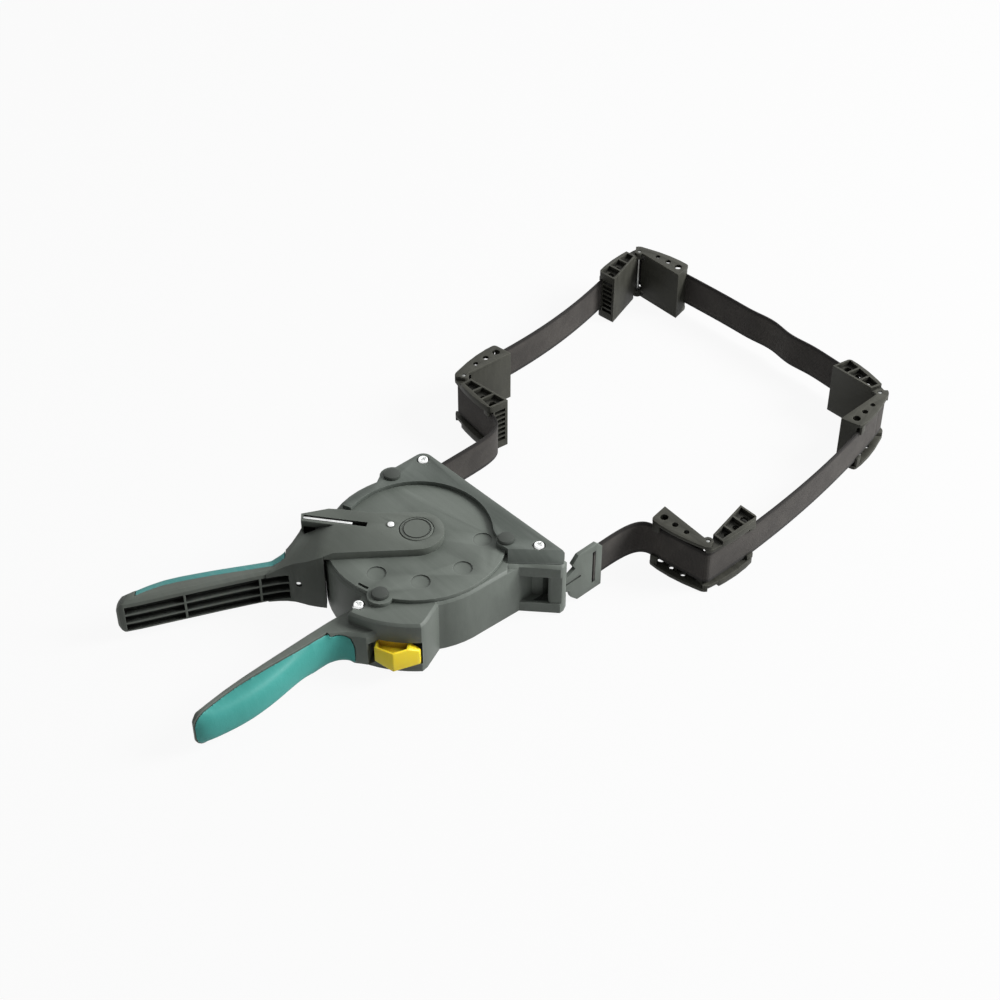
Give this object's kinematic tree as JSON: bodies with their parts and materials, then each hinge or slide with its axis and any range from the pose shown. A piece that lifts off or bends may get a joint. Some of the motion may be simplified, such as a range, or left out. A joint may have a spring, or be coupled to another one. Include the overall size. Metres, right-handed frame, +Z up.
{
  "type": "ratchet band clamp",
  "caption": "Ratchet band clamp: reel housing with two squeeze handles, a release rocker, and a webbing band that runs through hinged corner jaws round a frame.",
  "frame": {"origin": "on the reel's axis, on the flat underside of the housing that lies on the bench", "axes": "+Z up along the reel's axis, +Y from the handles towards the corner jaws, +X along the housing's front towards the clip"},
  "size_m": [0.255, 0.5161, 0.0495],
  "materials": {
    "housing": "matte, dark grey-green",
    "lever": "matte, darker grey-green",
    "jaw": "matte, near black",
    "grip": "soft matte, teal",
    "release": "satin, yellow",
    "band": "woven, dark brown-grey",
    "steel": "bright zinc"
  },
  "bodies": {
    "housing": {"housing_base": "housing", "front_plate": "housing", "reel_cover": "housing", "cover_stud_left": "lever", "cover_stud_right": "lever", "cover_stud_near": "lever", "cover_screw_left": "steel", "cover_screw_right": "steel", "cover_screw_near": "steel", "fixed_grip": "grip", "spindle": "steel", "hold_pawl_pin": "steel", "hold_pawl_spring": "steel", "release_pin": "steel", "jaw_left_ribbed": "jaw", "jaw_left_pin": "steel", "jaw_near_plain": "jaw", "jaw_near_pin": "steel", "band_lead": "band", "band_tail": "band", "band_bend_left": "band", "band_bend_near": "band"},
    "pump_lever": {"lever_core": "lever", "lever_grip": "grip", "pivot_cap": "housing", "pawl_carrier": "steel", "drive_pawl_pin": "steel", "drive_pawl_spring": "steel", "return_spring": "steel", "arm_rivet": "steel", "lever_cross_pin": "steel"},
    "reel": {"reel_drum": "lever", "ratchet_wheel": "steel", "band_wound": "band"},
    "drive_pawl": {"drive_pawl": "steel"},
    "hold_pawl": {"hold_pawl": "steel"},
    "release_rocker": {"release_lever": "release"},
    "clip": {"clip": "housing"},
    "side_left": {"jaw_left_plain": "jaw", "band_left": "band", "jaw_far_ribbed": "jaw", "jaw_far_pin": "steel", "band_bend_far": "band"},
    "side_far": {"jaw_far_plain": "jaw", "band_far": "band", "jaw_right_ribbed": "jaw", "jaw_right_pin": "steel", "band_bend_right": "band"},
    "side_right": {"jaw_right_plain": "jaw", "band_right": "band", "jaw_near_ribbed": "jaw"}
  },
  "joints": [
    {"name": "pump_lever_swing", "type": "hinge", "parent": "housing", "child": "pump_lever", "pos_m": [0, 0, 0.042], "axis": [0, 0, 1], "range_deg": [0, 30], "stiffness_Nm_per_rad": 0.8, "springref_deg": -14.32},
    {"name": "reel_spin", "type": "hinge", "parent": "housing", "child": "reel", "pos_m": [0, 0, 0.019], "axis": [0, 0, 1], "range_deg": [0, 30]},
    {"name": "drive_pawl_lift", "type": "hinge", "parent": "pump_lever", "child": "drive_pawl", "pos_m": [-0.02952, -0.03396, 0.0345], "axis": [0, 0, 1], "range_deg": [-15, 0], "stiffness_Nm_per_rad": 0.02, "springref_deg": 11.46, "deforming": ["drive_pawl_spring"]},
    {"name": "release_rocker_tilt", "type": "hinge", "parent": "housing", "child": "release_rocker", "pos_m": [0.03972, -0.05271, 0.0165], "axis": [0, 0, 1], "range_deg": [-17, 0]},
    {"name": "hold_pawl_swing", "type": "hinge", "parent": "housing", "child": "hold_pawl", "pos_m": [0.03396, -0.02952, 0.0345], "axis": [0, 0, 1], "range_deg": [0, 15], "deforming": ["hold_pawl_spring"]},
    {"name": "clip_slide", "type": "slide", "parent": "housing", "child": "clip", "axis": [0, 1, 0], "range_m": [0, 0.024], "deforming": ["band_tail"]},
    {"name": "side_left_skew", "type": "hinge", "parent": "housing", "child": "side_left", "pos_m": [-0.101, 0.13, 0.019], "axis": [0, 0, 1], "range_deg": [-20, 20], "deforming": ["band_bend_left", "band_bend_near", "band_bend_far", "band_bend_right"]},
    {"name": "side_far_fold", "type": "hinge", "parent": "side_left", "child": "side_far", "pos_m": [-0.12086, 0.31896, 0.019], "axis": [0, 0, 1], "range_deg": [-20, 20]},
    {"name": "side_right_fold", "type": "hinge", "parent": "side_far", "child": "side_right", "pos_m": [0.10014, 0.31896, 0.019], "axis": [0, 0, 1], "range_deg": [-20, 20]}
  ],
  "couplings": [
    {"joint": "reel_spin", "follows": "pump_lever_swing", "ratio": 1},
    {"joint": "hold_pawl_swing", "follows": "release_rocker_tilt", "ratio": -0.88},
    {"joint": "side_far_fold", "follows": "side_left_skew", "ratio": -1},
    {"joint": "side_right_fold", "follows": "side_left_skew", "ratio": 1}
  ]
}
